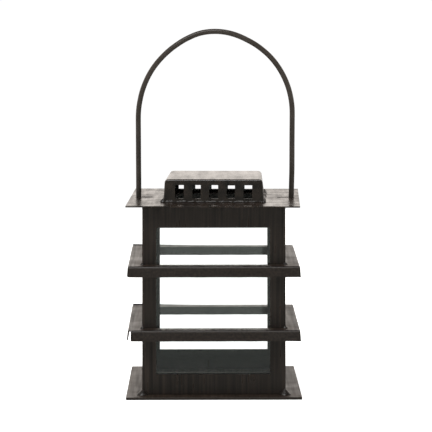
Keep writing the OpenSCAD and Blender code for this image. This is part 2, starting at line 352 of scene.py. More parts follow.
@dataclass(frozen=True)
class WirePaint:
    """Satin brown-black enamel dipped over drawn steel wire.

    The film is even and a little paler than on the sheet, with faint die lines along the wire and small runs.
    """

    name: str = "satin_enamel_on_drawn_wire"
    film: str = "#36312c"
    thin: str = "#423c37"
    gloss: float = 0.24
    dull: float = 0.32
    # The drawn surface under the film keeps its edges from shining
    specular: float = 0.24
    # Runs in the film are about 9 mm long, and the die lines under it 0.4 mm apart
    run_mm: float = 9.0
    line_mm: float = 0.4
    line_run_mm: float = 12.0
    line_depth_mm: float = 0.008
    # Slow drift to a darker tone along the wire, 40 mm from one change to the next
    drift_mm: float = 40.0
    drift_share: float = 0.5
    drift_colour: str = "#2a2622"

    def build(self) -> bpy.types.Material:
        """Returns the wire's paint as a material."""
        material, tree, coords = shader_tree(self.name)
        runs = grain(tree, coords, [self.run_mm] * 3)
        lines = grain(tree, coords, [self.line_mm, self.line_mm, self.line_run_mm], 1.0)
        along = add_node(tree, "ShaderNodeAttribute", {"attribute_name": "wire_run"}).outputs["Fac"]
        drift = add_node(
            tree,
            "ShaderNodeTexNoise",
            {"noise_dimensions": "1D"},
            {"Scale": 1 / (self.drift_mm * MM), "Detail": 1.0, "W": along},
        ).outputs[0]
        colour = blend_colour(tree, spread(tree, runs, 0, 1), linear(self.film), linear(self.thin))
        drifted = spread(tree, drift, 0, self.drift_share)
        shade(
            tree,
            {
                "Base Color": blend_colour(tree, drifted, colour, linear(self.drift_colour)),
                "Roughness": spread(tree, runs, self.gloss, self.dull),
                "Specular IOR Level": self.specular,
                "Normal": bump(tree, lines, self.line_depth_mm),
            },
        )
        return material


@dataclass(frozen=True)
class WeldPaint:
    """Thick enamel that gathers over lumpy weld and braze metal.

    It lies glossy in the hollows and thin on the lumps, so it shows small highlights.
    """

    name: str = "glossy_enamel_on_weld_bead"
    film: str = "#191512"
    thin: str = "#241e1a"
    gloss: float = 0.28
    dull: float = 0.46
    # Ripples of the weld pool are about 0.8 mm apart, and the paint's pools 3 mm
    ripple_mm: float = 0.8
    ripple_depth_mm: float = 0.03
    pool_mm: float = 3.0

    def build(self) -> bpy.types.Material:
        """Returns the weld's paint as a material."""
        material, tree, coords = shader_tree(self.name)
        ripples = grain(tree, coords, [self.ripple_mm] * 3)
        pools = grain(tree, coords, [self.pool_mm] * 3)
        shade(
            tree,
            {
                "Base Color": blend_colour(tree, spread(tree, pools, 0, 1), linear(self.film), linear(self.thin)),
                "Roughness": spread(tree, pools, self.gloss, self.dull),
                "Normal": bump(tree, ripples, self.ripple_depth_mm),
            },
        )
        return material


@dataclass(frozen=True)
class FloatGlass:
    """Clear soda-lime float glass, which is very slightly green and carries faint wiping marks."""

    name: str = "clear_float_glass"
    tint: str = "#fdfefd"
    wiped: str = "#fbfdfc"
    ior: float = 1.52
    # Wiping marks are about 20 mm apart and only just dull the surface
    smear_mm: float = 20.0
    smear: float = 0.03

    def build(self) -> bpy.types.Material:
        """Returns the glass as a material."""
        material, tree, coords = shader_tree(self.name)
        smears = grain(tree, coords, [self.smear_mm, self.smear_mm, 2 * self.smear_mm])
        shade(
            tree,
            {
                "Base Color": blend_colour(tree, spread(tree, smears, 0, 1), linear(self.tint), linear(self.wiped)),
                "Roughness": spread(tree, smears, 0.0, self.smear, 0.5, 0.8),
                "Transmission Weight": 1.0,
                "IOR": self.ior,
            },
        )
        return material


# ---- Mesh helpers ----


def host_object(mesh: bpy.types.Mesh) -> bpy.types.Object:
    """Returns a linked object that holds a mesh while modifiers work on it."""
    host = bpy.data.objects.new("host", mesh)
    bpy.context.scene.collection.objects.link(host)
    return host


def evaluated_mesh(host: bpy.types.Object, name: str) -> bpy.types.Mesh:
    """Turns a host object's evaluated result into a plain mesh and removes the host.

    Args:
        host: Object with its modifiers in place.
        name: Name of the new mesh.

    Returns:
        The plain mesh.
    """
    depsgraph = bpy.context.evaluated_depsgraph_get()
    mesh = bpy.data.meshes.new_from_object(
        host.evaluated_get(depsgraph), preserve_all_data_layers=True, depsgraph=depsgraph
    )
    mesh.name = name
    bpy.data.objects.remove(host)
    return mesh


def mesh_from(bm: bmesh.types.BMesh, name: str) -> bpy.types.Mesh:
    """Writes a bmesh to a new mesh and frees it."""
    mesh = bpy.data.meshes.new(name)
    bm.to_mesh(mesh)
    bm.free()
    return mesh


def soften(mesh: bpy.types.Mesh, edge_mm: float, sharp_deg: float = 40.0) -> bpy.types.Mesh:
    """Rounds a mesh's sharp edges a little and smooths its bends.

    Args:
        mesh: Closed mesh.
        edge_mm: Width of the rounding.
        sharp_deg: Edges with a larger angle than this are rounded.

    Returns:
        The finished mesh, whose flat faces keep flat normals.
    """
    name = mesh.name
    host = host_object(mesh)
    bevel = host.modifiers.new("edge", "BEVEL")
    bevel.width = edge_mm * MM
    bevel.segments = EDGE_STEPS
    bevel.limit_method = "ANGLE"
    bevel.angle_limit = math.radians(sharp_deg)
    bevel.use_clamp_overlap = True
    rounded = evaluated_mesh(host, name)
    rounded.shade_smooth()
    rounded.set_sharp_from_angle(angle=math.radians(SMOOTH_DEG))
    host = host_object(rounded)
    host.modifiers.new("normals", "WEIGHTED_NORMAL").keep_sharp = True
    return evaluated_mesh(host, name)


def thicken(bm: bmesh.types.BMesh, name: str, sheet_mm: float) -> bpy.types.Mesh:
    """Turns the outer face of folded sheet into a closed shell.

    Args:
        bm: The outer face, whose largest part lies flat on top. It is freed.
        name: Name of the mesh.
        sheet_mm: The sheet's thickness, which goes on the inner side.

    Returns:
        The sheet as a plain mesh.
    """
    bmesh.ops.recalc_face_normals(bm, faces=bm.faces[:])
    if max(bm.faces, key=lambda f: f.calc_area()).normal.z < 0:
        bmesh.ops.reverse_faces(bm, faces=bm.faces[:])
    host = host_object(mesh_from(bm, name))
    thick = host.modifiers.new("sheet", "SOLIDIFY")
    thick.thickness = sheet_mm * MM
    thick.offset = -1
    thick.use_even_offset = True
    return evaluated_mesh(host, name)


def merged_cad(node: str) -> bmesh.types.BMesh:
    """Copies a CAD node's triangles, merges them and joins the ones in one plane.

    Args:
        node: Name of the CAD node.

    Returns:
        The node's shape as large flat faces.
    """
    bm = bmesh.new()
    bm.from_mesh(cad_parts[node].data)
    bmesh.ops.remove_doubles(bm, verts=bm.verts[:], dist=MERGE_M)
    bmesh.ops.dissolve_limit(bm, angle_limit=math.radians(FLAT_DEG), verts=bm.verts[:], edges=bm.edges[:])
    return bm


def widen_foot(bm: bmesh.types.BMesh) -> None:
    """Widens the body's pieces a little towards the foot, where the welded body has spread.

    Args:
        bm: Piece of the body, in its place.
    """
    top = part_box("front_panel")[1].z
    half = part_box("front_panel")[1].x
    for vert in bm.verts:
        share = 1 + FOOT_SPREAD_MM * MM / half * (1 - vert.co.z / top)
        vert.co.x *= share
        vert.co.y *= share


def rule_lines(bm: bmesh.types.BMesh, pitch_mm: float, axes: Iterable[int]) -> None:
    """Cuts a mesh along evenly spaced planes, so that it has points to bend at.

    Args:
        bm: Mesh to cut.
        pitch_mm: Distance between the planes.
        axes: Axes that the planes face.
    """
    for axis in axes:
        low = min(v.co[axis] for v in bm.verts)
        high = max(v.co[axis] for v in bm.verts)
        count = max(1, round((high - low) / (pitch_mm * MM)))
        for step in range(1, count):
            place, normal = Vector((0, 0, 0)), Vector((0, 0, 0))
            place[axis] = low + (high - low) * step / count
            normal[axis] = 1
            bmesh.ops.bisect_plane(
                bm, geom=bm.verts[:] + bm.edges[:] + bm.faces[:], dist=1e-6, plane_co=place, plane_no=normal
            )


def wave(point: Vector, size_mm: float, seed: float) -> float:
    """Returns a smooth wave from about -0.7 to 0.7 at a point, with bumps of the given size."""
    return noise.noise(point / (size_mm * MM) + Vector((seed, 2 * seed, -seed)))


def add_piece(
    name: str,
    mesh: bpy.types.Mesh,
    material: bpy.types.Material,
    body: Body,
    replaced: Iterable[str] = (),
) -> bpy.types.Object:
    """Puts a finished mesh in the scene and ties it to the part.

    Args:
        name: Piece's name.
        mesh: Mesh with its place in its points.
        material: Finish.
        body: Body that the piece moves with.
        replaced: CAD nodes that the piece stands for.

    Returns:
        The new piece.
    """
    mesh.name = name
    mesh.materials.clear()
    mesh.materials.append(material)
    for polygon in mesh.polygons:
        polygon.material_index = 0
    piece = bpy.data.objects.new(name, mesh)
    bpy.context.scene.collection.objects.link(piece)
    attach(piece, body.value)
    if replaced:
        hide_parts(*replaced)
    LOG.info("%s: %d faces, moves with %s", name, len(mesh.polygons), body.value)
    return piece


def dress_node(node: str, material: bpy.types.Material) -> None:
    """Gives a CAD node that stays in view its finish."""
    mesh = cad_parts[node].data
    mesh.materials.clear()
    mesh.materials.append(material)
    LOG.info("%s: kept, finished in %s", node, material.name)


# ---- Geometry Nodes ----


def start_tree(name: str, first_values: dict[str, float | int | Point3]) -> tuple[bpy.types.NodeTree, Any]:
    """Starts a Geometry Nodes tree.

    Args:
        name: Tree's name.
        first_values: Named inputs after the geometry itself, whose values also set their types.

    Returns:
        The tree, and the sockets of its inputs by name.
    """
    tree = bpy.data.node_groups.new(name, "GeometryNodeTree")
    tree.interface.new_socket("Geometry", in_out="INPUT", socket_type="NodeSocketGeometry")
    for title, value in first_values.items():
        socket = tree.interface.new_socket(title, in_out="INPUT", socket_type=SOCKET_TYPES[type(value)])
        socket.default_value = value
    tree.interface.new_socket("Finish", in_out="INPUT", socket_type="NodeSocketMaterial")
    tree.interface.new_socket("Geometry", in_out="OUTPUT", socket_type="NodeSocketGeometry")
    return tree, add_node(tree, "NodeGroupInput").outputs


def end_tree(tree: bpy.types.NodeTree, given: Any, geometry: Socket) -> None:
    """Ends a tree in Realize Instances and Set Material.

    Args:
        tree: Tree to end.
        given: The tree's inputs, which hold the finish.
        geometry: Last geometry in the tree.
    """
    real = add_node(tree, "GeometryNodeRealizeInstances", inputs={"Geometry": geometry}).outputs[0]
    dressed = add_node(tree, "GeometryNodeSetMaterial", inputs={"Geometry": real, "Material": given["Finish"]})
    add_node(tree, "NodeGroupOutput", inputs={0: dressed.outputs[0]})


def grow(
    name: str, start: bpy.types.Mesh, tree: bpy.types.NodeTree, finish: bpy.types.Material, values: dict[str, Any]
) -> bpy.types.Mesh:
    """Runs a tree on a mesh.

    Args:
        name: Name of the result.
        start: Mesh that the tree starts from.
        tree: Geometry Nodes tree.
        finish: Material that the tree sets.
        values: Values of the tree's other inputs, by name.

    Returns:
        The result as a plain mesh.
    """
    host = host_object(start)
    modifier = host.modifiers.new(tree.name, "NODES")
    modifier.node_group = tree
    asked = {**values, "Finish": finish}
    for item in tree.interface.items_tree:
        if item.in_out == "INPUT" and item.name in asked:
            modifier[item.identifier] = asked[item.name]
    return evaluated_mesh(host, name)


def path_mesh(points: Sequence[Vector], closed: bool) -> bpy.types.Mesh:
    """Returns a mesh of edges through points, for a tree that sweeps along them."""
    count = len(points)
    edges = [(i, (i + 1) % count) for i in range(count if closed else count - 1)]
    mesh = bpy.data.meshes.new("path")
    mesh.from_pydata([tuple(p) for p in points], edges, [])
    return mesh


def noise_outputs(tree: bpy.types.NodeTree, given: Any, size: Socket) -> Any:
    """Adds a seeded noise over position to a Geometry Nodes tree.

    Args:
        tree: Tree that gets the noise.
        given: The tree's inputs, which hold the seed.
        size: Size of one feature, in metres.

    Returns:
        The noise's outputs: 0 for its value, 1 for its colour as a vector.
    """
    inputs = {"Detail": 2.0, "W": given["Seed"], "Scale": calc(tree, "DIVIDE", 1.0, size)}
    return add_node(tree, "ShaderNodeTexNoise", {"noise_dimensions": "4D"}, inputs).outputs


def strayed(tree: bpy.types.NodeTree, given: Any, geometry: Socket, size: str, amount: str) -> Socket:
    """Moves points by a noise.

    Args:
        tree: Tree that the geometry is in.
        given: The tree's inputs.
        geometry: Points to move.
        size: Name of the input that holds the size of one feature.
        amount: Name of the input that holds how far a point may go, to both sides together.

    Returns:
        The moved geometry.
    """
    colour = noise_outputs(tree, given, given[size])[1]
    centred = add_node(tree, "ShaderNodeVectorMath", {"operation": "SUBTRACT"}, {0: colour, 1: (0.5, 0.5, 0.5)})
    scaled = add_node(
        tree, "ShaderNodeVectorMath", {"operation": "SCALE"}, {0: centred.outputs[0], "Scale": given[amount]}
    )
    inputs = {"Geometry": geometry, "Offset": scaled.outputs[0]}
    return add_node(tree, "GeometryNodeSetPosition", inputs=inputs).outputs[0]


def either_way(tree: bpy.types.NodeTree, amount: Socket) -> tuple[Socket, Socket]:
    """Returns 1 less an amount and 1 plus the amount."""
    return calc(tree, "SUBTRACT", 1.0, amount), calc(tree, "ADD", 1.0, amount)


def cut_away(tree: bpy.types.NodeTree, solid: Socket, tool: Socket) -> Socket:
    """Returns a solid with another solid cut out of it."""
    settings = {"operation": "DIFFERENCE", "solver": "EXACT"}
    return add_node(tree, "GeometryNodeMeshBoolean", settings, {"Mesh 1": solid, "Mesh 2": tool}).outputs[0]


def sweep_tree() -> bpy.types.NodeTree:
    """Builds the tree that sweeps a round section along a path, for the handle's wire and the brazed seam.

    Returns:
        A tree with inputs Radius, Step, Wander, Swell, Grain, Sides and Seed.
    """
    tree, given = start_tree(
        "sweep_round_section",
        {"Radius": 1 * MM, "Step": 2 * MM, "Wander": 0.0, "Swell": 0.0, "Grain": 4 * MM, "Sides": 16, "Seed": 1.0},
    )
    line = add_node(tree, "GeometryNodeMeshToCurve", inputs={"Mesh": given["Geometry"]}).outputs[0]
    even = add_node(
        tree, "GeometryNodeResampleCurve", {"mode": "LENGTH"}, {"Curve": line, "Length": given["Step"]}
    ).outputs[0]
    run = add_node(tree, "GeometryNodeSplineParameter").outputs["Length"]
    marked = add_node(
        tree,
        "GeometryNodeStoreNamedAttribute",
        {"data_type": "FLOAT", "domain": "POINT"},
        {"Name": "wire_run", "Geometry": even, "Value": run},
    ).outputs[0]
    section = add_node(
        tree, "GeometryNodeCurvePrimitiveCircle", inputs={"Radius": given["Radius"], "Resolution": given["Sides"]}
    ).outputs[0]
    thinnest, fattest = either_way(tree, given["Swell"])
    swept = add_node(
        tree,
        "GeometryNodeCurveToMesh",
        inputs={
            "Fill Caps": True,
            "Curve": strayed(tree, given, marked, "Grain", "Wander"),
            "Profile Curve": section,
            "Scale": spread(tree, noise_outputs(tree, given, given["Grain"])[0], thinnest, fattest),
        },
    ).outputs[0]
    end_tree(tree, given, add_node(tree, "GeometryNodeSetShadeSmooth", inputs={0: swept}).outputs[0])
    return tree


def bead_tree() -> bpy.types.NodeTree:
    """Builds the tree that sets a lumpy weld bead on each point and cuts the body's block from the beads.

    Returns:
        A tree with inputs Radius, Height, Pinch, Spread, Lump Size, Lump Depth, Trim Size, Trim Place, Floor and Seed.
    """
    tree, given = start_tree(
        "weld_beads",
        {
            "Radius": 1 * MM,
            "Height": 1 * MM,
            "Pinch": 0.0,
            "Spread": 0.1,
            "Lump Size": 1 * MM,
            "Lump Depth": 0.3 * MM,
            "Trim Size": (0.1, 0.1, 0.1),
            "Trim Place": (0.0, 0.0, 0.0),
            "Floor": 0.0,
            "Seed": 1.0,
        },
    )
    ball = add_node(tree, "GeometryNodeMeshIcoSphere", inputs={"Radius": 1.0, "Subdivisions": 4}).outputs[0]
    place = add_node(tree, "GeometryNodeInputPosition").outputs[0]
    here = axes_of(tree, place)
    # The bead narrows towards its top by the pinch, which turns a ball into a fillet
    rise = add_node(tree, "ShaderNodeClamp", inputs={0: here["Z"]}).outputs[0]
    share = calc(tree, "SUBTRACT", 1.0, calc(tree, "MULTIPLY", rise, given["Pinch"]))
    narrowed = vector_of(tree, **{a: calc(tree, "MULTIPLY", here[a], share) for a in ("X", "Y")}, Z=here["Z"])
    shaped = add_node(tree, "GeometryNodeSetPosition", inputs={"Geometry": ball, "Position": narrowed}).outputs[0]
    size = vector_of(tree, X=given["Radius"], Y=given["Radius"], Z=given["Height"])
    smallest, largest = either_way(tree, given["Spread"])
    seed = add_node(tree, "FunctionNodeFloatToInt", inputs={0: given["Seed"]}).outputs[0]
    limits = {RANDOM_VALUES[0]: smallest, RANDOM_VALUES[1]: largest, "Seed": seed}
    one_size = add_node(tree, "FunctionNodeRandomValue", {"data_type": "FLOAT"}, limits).outputs[RANDOM_VALUE_RESULT]
    varied = add_node(tree, "ShaderNodeVectorMath", {"operation": "SCALE"}, {0: size, "Scale": one_size}).outputs[0]
    beads = add_node(
        tree,
        "GeometryNodeInstanceOnPoints",
        inputs={"Points": given["Geometry"], "Instance": shaped, "Scale": varied},
    ).outputs[0]
    real = add_node(tree, "GeometryNodeRealizeInstances", inputs={"Geometry": beads}).outputs[0]
    lumpy = strayed(tree, given, real, "Lump Size", "Lump Depth")
    # Nothing of a bead goes below the sheet it lies on
    seat = vector_of(tree, X=here["X"], Y=here["Y"], Z=calc(tree, "MAXIMUM", here["Z"], given["Floor"]))
    seated = add_node(tree, "GeometryNodeSetPosition", inputs={"Geometry": lumpy, "Position": seat}).outputs[0]
    block = add_node(tree, "GeometryNodeMeshCube", inputs={"Size": given["Trim Size"]}).outputs[0]
    placed = add_node(
        tree, "GeometryNodeTransform", inputs={"Geometry": block, "Translation": given["Trim Place"]}
    ).outputs[0]
    trimmed = cut_away(tree, seated, placed)
    end_tree(tree, given, add_node(tree, "GeometryNodeSetShadeSmooth", inputs={0: trimmed}).outputs[0])
    return tree


def vent_tree() -> bpy.types.NodeTree:
    """Builds the tree that punches a row of vents through the front and back of the cap.

    Returns:
        A tree with inputs Count, Width, Height, Reach, Pitch, Middle Height, Front, Unevenness and Seed.
    """
    tree, given = start_tree(
        "punched_vents",
        {
            "Count": 5,
            "Width": 6 * MM,
            "Height": 9 * MM,
            "Reach": 8 * MM,
            "Pitch": 12 * MM,
            "Middle Height": 0.0,
            "Front": 30 * MM,
            "Unevenness": 0.02,
            "Seed": 1,
        },
    )
    row = calc(tree, "MULTIPLY", calc(tree, "SUBTRACT", given["Count"], 1.0), given["Pitch"])
    first = calc(tree, "MULTIPLY", row, -0.5)
    step = vector_of(tree, X=given["Pitch"])
    joined = add_node(tree, "GeometryNodeJoinGeometry")
    for sign in (-1.0, 1.0):
        face = calc(tree, "MULTIPLY", given["Front"], sign)
        start = vector_of(tree, X=first, Y=face, Z=given["Middle Height"])
        line = add_node(
            tree, "GeometryNodeMeshLine", inputs={"Count": given["Count"], "Start Location": start, "Offset": step}
        )
        tree.links.new(line.outputs[0], joined.inputs[0])
    punch_size = vector_of(tree, X=given["Width"], Y=given["Reach"], Z=given["Height"])
    punch = add_node(tree, "GeometryNodeMeshCube", inputs={"Size": punch_size}).outputs[0]
    smallest = calc(tree, "SUBTRACT", 1.0, given["Unevenness"])
    vary = add_node(
        tree,
        "FunctionNodeRandomValue",
        {"data_type": "FLOAT_VECTOR"},
        {"Min": smallest, "Max": (1.0, 1.0, 1.0), "Seed": given["Seed"]},
    ).outputs[0]
    punches = add_node(
        tree, "GeometryNodeInstanceOnPoints", inputs={"Points": joined.outputs[0], "Instance": punch, "Scale": vary}
    ).outputs[0]
    real = add_node(tree, "GeometryNodeRealizeInstances", inputs={"Geometry": punches}).outputs[0]
    end_tree(tree, given, cut_away(tree, given["Geometry"], real))
    return tree


# ---- Sub-assemblies ----


def brushed(name: str, run: BrushRun, **settings: Any) -> Any:
    """Returns a field that holds a brushed paint, built together with the other finishes."""
    return field(default_factory=lambda: BrushedPaint(name, run, **settings).build())


@dataclass
class Finishes:
    """The lantern's materials, each built once."""

    upright: bpy.types.Material = brushed("semi_gloss_enamel_brushed_upright", BrushRun.UPRIGHT)
    inner: bpy.types.Material = brushed(
        "semi_gloss_enamel_on_glazing_channel", BrushRun.SIDEWAYS, film="#2a2622", gloss=0.3
    )
    plate: bpy.types.Material = brushed(
        "semi_gloss_enamel_brushed_front_to_back", BrushRun.DEPTH, gloss=0.38, dull=0.51, dust=0.1
    )
    tier: bpy.types.Material = brushed(
        "semi_gloss_enamel_brushed_on_folded_sheet", BrushRun.DEPTH, gloss=0.33, dull=0.48, dust=0.11
    )
    cap: bpy.types.Material = brushed(
        "semi_gloss_enamel_smooth_on_cap",
        BrushRun.DEPTH,
        gloss=0.17,
        dull=0.24,
        patch_mm=26.0,
        streak_mm=6.0,
        streak_run_mm=40.0,
        streak_depth_mm=0.006,
    )
    lid_plate: bpy.types.Material = brushed(
        "semi_gloss_enamel_mottled_on_lid_plate",
        BrushRun.DEPTH,
        gloss=0.2,
        dull=0.36,
        patch_mm=9.0,
        streak_mm=3.0,
        streak_run_mm=30.0,
        streak_depth_mm=0.012,
    )
    wire: bpy.types.Material = field(default_factory=lambda: WirePaint().build())
    weld: bpy.types.Material = field(default_factory=lambda: WeldPaint().build())
    glass: bpy.types.Material = field(default_factory=lambda: FloatGlass().build())


@dataclass
class BasePlate:
    """The flat square plate that the body stands on."""

    edge_mm: float = 0.25

    def build(self, finishes: Finishes) -> None:
        """Makes the plate with softened edges."""
        mesh = soften(mesh_from(merged_cad("base_plate"), "base"), self.edge_mm)
        add_piece("base_plate_sheet", mesh, finishes.plate, Body.LANTERN, ["base_plate"])


@dataclass
class Walls:
    """The four panels, each a sheet frame round a window, with the tacks that join them inside."""

    edge_mm: float = 0.12
    line_pitch_mm: float = 9.0
    bow_mm: float = 0.06
    bow_size_mm: float = 45.0

    def panel(self, side: str) -> bpy.types.Mesh:
        """Makes one panel, very slightly bowed as hand-cut sheet is.

        Args:
            side: Side of the body.

        Returns:
            The panel's mesh.
        """
        bm = merged_cad(f"{side}_panel")
        thin = 1 if side in ("front", "back") else 0
        rule_lines(bm, self.line_pitch_mm, (2,))
        for vert in bm.verts:
            spot = vert.co.copy()
            spot[thin] = 0
            vert.co[thin] += self.bow_mm * MM * wave(spot, self.bow_size_mm, 3.0 + SIDES.index(side))
        widen_foot(bm)
        return soften(mesh_from(bm, side), self.edge_mm)

    def build(self, finishes: Finishes) -> None:
        """Makes the panels and dresses the tacks between them."""
        for side in SIDES:
            node = f"{side}_panel"
            add_piece(f"{side}_panel_sheet", self.panel(side), finishes.upright, Body.LANTERN, [node])
        dress_node("panel_seam_welds", finishes.weld)


@dataclass
class Glazing:
    """The four panes and the folded channels that hold them."""

    cut_edge_mm: float = 0.15
    fold_edge_mm: float = 0.1

    def build(self, finishes: Finishes) -> None:
        """Makes each pane with ground edges, and its channel."""
        for side in SIDES:
            for kind, node, edge, material, slot in (
                ("pane", f"{side}_glass", self.cut_edge_mm, finishes.glass, Slot.GLASS),
                ("folded_channel", f"{side}_glass_channel", self.fold_edge_mm, finishes.inner, Slot.SHEET),
            ):
                bm = merged_cad(node)
                widen_foot(bm)
                add_piece(
                    f"{side}_{kind}", soften(mesh_from(bm, side), edge), material, Body.LANTERN, [node]
                )


@dataclass
class Tier:
    """A square sheet round the body, with a lip folded down along each side and open corners."""

    node: str
    width: float
    # Depth and outward splay of the lips at the right, back, left and front
    drops: Sequence[float]
    splays: Sequence[float]
    # Open notches at the first and second end of each lip, going round. Below 0, a lip runs past the flat's corner.
    starts: Sequence[float]
    stops: Sequence[float]
    seed: float
    sheet: float = 0.8
    bend: float = 1.5
    hole: float = 96.2
    bend_steps: int = 8
    line_pitch: float = 4.0
    # Depth and size of the unevenness of the lips, of their cut edges and of the flat
    lip_wave: Point = (0.12, 22.0)
    cut_wave: Point = (0.12, 9.0)
    flat_wave: Point = (0.05, 38.0)
    # Shares of the bend that the painted shade covers fully, and past which it stops
    fold_shade_full: float = 0.4
    fold_shade_end: float = 2.2 / 3
    # Places nearer than this are the same, and ruled lines stay the second distance away from a lip's ends
    same: float = 0.01
    line_gap: float = 0.2
    # Height of the ridge that the back fold rises to at its left end, and where along the fold it starts
    back_curl: float = 1.0
    curl_start: float = 5.0
    edge: float = 0.1

    def profile(self, side: int) -> list[Point]:
        """Works out the outer face of a fold and its lip.

        Args:
            side: Number of the side, from the right round by the back.

        Returns:
            Points in millimetres, out from the fold's start and up from the flat.
        """
        splay = math.radians(self.splays[side])
        points = []
        for step in range(1, self.bend_steps + 1):
            turn = math.pi / 2 + (splay - math.pi / 2) * step / self.bend_steps
            points.append((self.bend * math.cos(turn), self.bend * math.sin(turn) - self.bend))
        length = (self.drops[side] - self.bend) / math.cos(splay)
        start = points[-1]
        for share in (0.25, 0.5, 0.75, 1.0):
            points.append(
                (start[0] + share * length * math.sin(splay), start[1] - share * length * math.cos(splay))
            )
        return points

    def lines(self) -> list[float]:
        """Returns the places of the ruled lines across the flat, in millimetres."""
        flat, hole = self.width / 2 - self.bend, self.hole / 2
        marks = [-flat, -hole, hole, flat]
        count = round(self.hole / self.line_pitch)
        marks += [-hole + self.hole * i / count for i in range(1, count)]
        middle = (hole + flat) / 2
        return sorted({round(m, 4) for m in [*marks, middle, -middle]})

    def build(self, finishes: Finishes) -> None:
        """Makes the tier as one folded sheet."""
        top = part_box(self.node)[1].z
        bm = bmesh.new()
        # Share of the near-black painted shade at each point, full along the fold's crease
        fold_shade_share = bm.verts.layers.float.new("fold_shade_share")
        lines = self.lines()
        flat, hole = self.width / 2 - self.bend, self.hole / 2

        def vertex(place: Vector, painted_fold_shade: float) -> bmesh.types.BMVert:
            """Adds one point, with how much painted shade lies there."""
            made = bm.verts.new(place)
            made[fold_shade_share] = painted_fold_shade
            return made

        grid = {}
        for i, x in enumerate(lines):
            for j, y in enumerate(lines):
                spot = Vector((x, y, 0)) * MM
                out = max(abs(x), abs(y))
                depth, size = self.flat_wave
                lift = depth * wave(spot, size, self.seed) * (out - hole) / (flat - hole)
                at_fold = float(out > flat - self.same)
                grid[i, j] = vertex(spot + Vector((0, 0, top + max(lift, -depth) * MM)), at_fold)
        for i in range(len(lines) - 1):
            for j in range(len(lines) - 1):
                if max(abs(lines[i] + lines[i + 1]), abs(lines[j] + lines[j + 1])) / 2 < hole:
                    continue
                bm.faces.new([grid[i, j], grid[i + 1, j], grid[i + 1, j + 1], grid[i, j + 1]])
        last = len(lines) - 1
        for side in range(4):
            turn = Matrix.Rotation(side * math.pi / 2, 3, "Z")
            profile = self.profile(side)
            first, final = -flat + self.starts[side], flat - self.stops[side]
            previous = None
            inner = (a for a in lines if first + self.line_gap < a < final - self.line_gap)
            for along in [first, *inner, final]:
                k = min(range(len(lines)), key=lambda i: abs(lines[i] - along))
                rim = (grid[last, k], grid[last - k, last], grid[0, last - k], grid[k, 0])[side]
                if abs(lines[k] - along) > self.same:
                    # The end of a lip that does not meet the flat's corner starts a row of its own
                    place = turn @ (Vector((flat, along, 0)) * MM)
                    place.z = rim.co.z
                    rim = vertex(place, 1.0)
                spot = Vector((along, side * 40.0, 0)) * MM
                out = self.lip_wave[0] * wave(spot, self.lip_wave[1], self.seed + 5)
                ragged = self.cut_wave[0] * wave(spot, self.cut_wave[1], self.seed + 9)
                # How far towards the ridge at the back fold's left end this row is
                ridge = max(0.0, (along - self.curl_start) / (flat - self.curl_start)) if side == BACK else 0.0
                row = [rim]
                for step, (forth, up) in enumerate(profile, 1):
                    share = max(0.0, -up / self.drops[side])
                    low = ragged if step == len(profile) else 0.0
                    place = turn @ (Vector((flat + forth + out * share, along, 0)) * MM)
                    bent = min(1.0, step / self.bend_steps)
                    place.z = rim.co.z + (up + low + ridge * self.back_curl * math.sin(math.pi * bent)) * MM
                    # Painted shade: the upper part of the bend is coloured near-black, fading out further down the
                    # bend
                    painted_fold_shade = (self.fold_shade_end - step / self.bend_steps) / (self.fold_shade_end - self.fold_shade_full)
                    row.append(vertex(place, min(1.0, max(0.0, painted_fold_shade))))
                if previous:
                    for a in range(len(row) - 1):
                        bm.faces.new([previous[a], previous[a + 1], row[a + 1], row[a]])
                previous = row
        loose = [v for v in bm.verts if not v.link_faces]
        bmesh.ops.delete(bm, geom=loose, context="VERTS")
        mesh = soften(thicken(bm, self.node, self.sheet), self.edge, 50.0)
        add_piece(f"{self.node}_folded_sheet", mesh, finishes.tier, Body.LANTERN, [self.node])


LOWER_TIER = Tier(
    node="lower_tier",
    width=115.8,
    drops=(7.8, 7.2, 7.0, 7.3),
    splays=(4, 1, 6, 0),
    starts=(0.1, -1, 0.1, 0.6),
    stops=(0.1, -1, 0.1, -1.2),
    seed=2.0,
)
UPPER_TIER = Tier(
    node="upper_tier",
    width=115.4,
    drops=(7.8, 7.2, 7.2, 7.3),
    splays=(4, 1, 5, 0),
    starts=(0.1, -1, 0.1, -1.1),
    stops=(0.1, -1, 0.1, -0.9),
    seed=7.0,
)


@dataclass(frozen=True)
class BeadRow:
    """Four like beads on one sheet, one at each corner of the body, with sizes in millimetres."""

    node: str
    seat: str
    radius: float
    height: float
    pinch: float
    lump_size: float
    lump_depth: float
    seed: float


